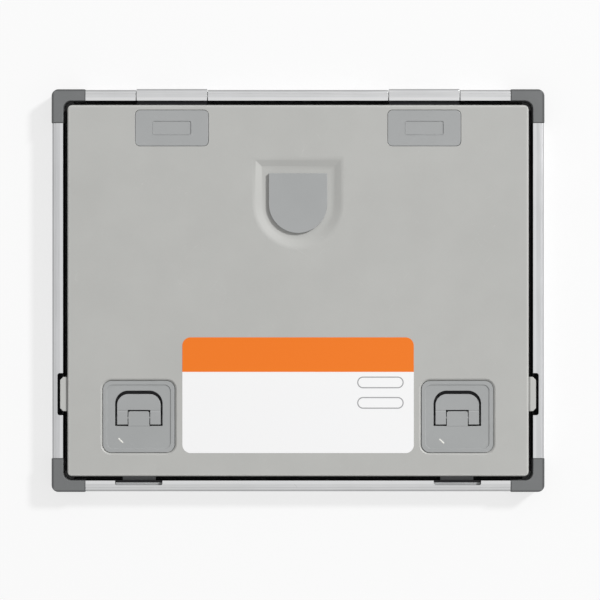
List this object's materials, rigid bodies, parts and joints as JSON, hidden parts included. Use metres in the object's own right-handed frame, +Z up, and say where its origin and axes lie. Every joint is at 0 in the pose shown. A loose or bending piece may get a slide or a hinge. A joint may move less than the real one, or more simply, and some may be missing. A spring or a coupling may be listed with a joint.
{
  "type": "x-ray film cassette",
  "caption": "Flat hinged film cassette with an aluminium rail frame, plastic corners and a grey back cover held by two lift-up flap latches.",
  "frame": {"origin": "centre of the bottom of the box round the closed cassette, which lies on its front", "axes": "+X along the hinge, to the right in the picture; +Y to the hinge side; +Z up, out of the back cover"},
  "size_m": [0.328, 0.2683, 0.015],
  "materials": {
    "rail_aluminium": "satin anodised",
    "hinge_aluminium": "satin anodised",
    "corner_plastic": "fine texture",
    "cover_plastic": "fine texture, light warm grey",
    "latch_plastic": "fine texture, bluish grey",
    "bolt_plastic": "smooth",
    "felt": "black felt",
    "steel": "bright",
    "panel": "painted grey, tube side",
    "plate": "mill finish",
    "lead": "dull",
    "foam": "open cells",
    "screen": "smooth, off white",
    "label": "coated, bare"
  },
  "bodies": {
    "frame": {"rail_hinge_side": "rail_aluminium", "rail_latch_side": "rail_aluminium", "rail_left": "rail_aluminium", "rail_right": "rail_aluminium", "corner_hinge_left": "corner_plastic", "corner_hinge_right": "corner_plastic", "corner_latch_left": "corner_plastic", "corner_latch_right": "corner_plastic", "front_panel": "panel", "front_screen": "screen", "light_seal": "felt", "strike_left": "bolt_plastic", "strike_right": "bolt_plastic", "hinge_pin_left": "steel", "hinge_pin_right": "steel"},
    "cover": {"back_cover": "cover_plastic", "hinge_leaf_left": "hinge_aluminium", "hinge_leaf_right": "hinge_aluminium", "hinge_plate_left": "latch_plastic", "hinge_plate_right": "latch_plastic", "hinge_screws": "steel", "back_insert": "latch_plastic", "latch_housing_left": "latch_plastic", "latch_housing_right": "latch_plastic", "latch_base_left": "steel", "latch_base_right": "steel", "latch_pin_left": "steel", "latch_pin_right": "steel", "latch_screws": "steel", "latch_spring_left": "steel", "latch_spring_right": "steel", "pressure_plate": "plate", "lead_foil": "lead", "foam_pad": "foam", "back_screen": "screen", "label": "label"},
    "latch_flap_left": {"latch_flap_left": "latch_plastic"},
    "latch_bolt_left": {"latch_bolt_left": "bolt_plastic"},
    "latch_flap_right": {"latch_flap_right": "latch_plastic"},
    "latch_bolt_right": {"latch_bolt_right": "bolt_plastic"}
  },
  "joints": [
    {"name": "cover_hinge", "type": "hinge", "parent": "frame", "child": "cover", "pos_m": [0, 0.1296, 0.011], "axis": [-1, 0, 0], "range_deg": [0, 105]},
    {"name": "flap_lift_left", "type": "hinge", "parent": "cover", "child": "latch_flap_left", "pos_m": [-0.106, -0.0847, 0.0123], "axis": [1, 0, 0], "range_deg": [0, 60]},
    {"name": "bolt_slide_left", "type": "slide", "parent": "cover", "child": "latch_bolt_left", "axis": [0, 1, 0], "range_m": [0, 0.003], "deforming": ["latch_spring_left"]},
    {"name": "flap_lift_right", "type": "hinge", "parent": "cover", "child": "latch_flap_right", "pos_m": [0.106, -0.0847, 0.0123], "axis": [1, 0, 0], "range_deg": [0, 60]},
    {"name": "bolt_slide_right", "type": "slide", "parent": "cover", "child": "latch_bolt_right", "axis": [0, 1, 0], "range_m": [0, 0.003], "deforming": ["latch_spring_right"]}
  ],
  "couplings": [
    {"joint": "flap_lift_left", "follows": "bolt_slide_left", "rad_per_m": 349.06},
    {"joint": "flap_lift_right", "follows": "bolt_slide_right", "rad_per_m": 349.06}
  ]
}
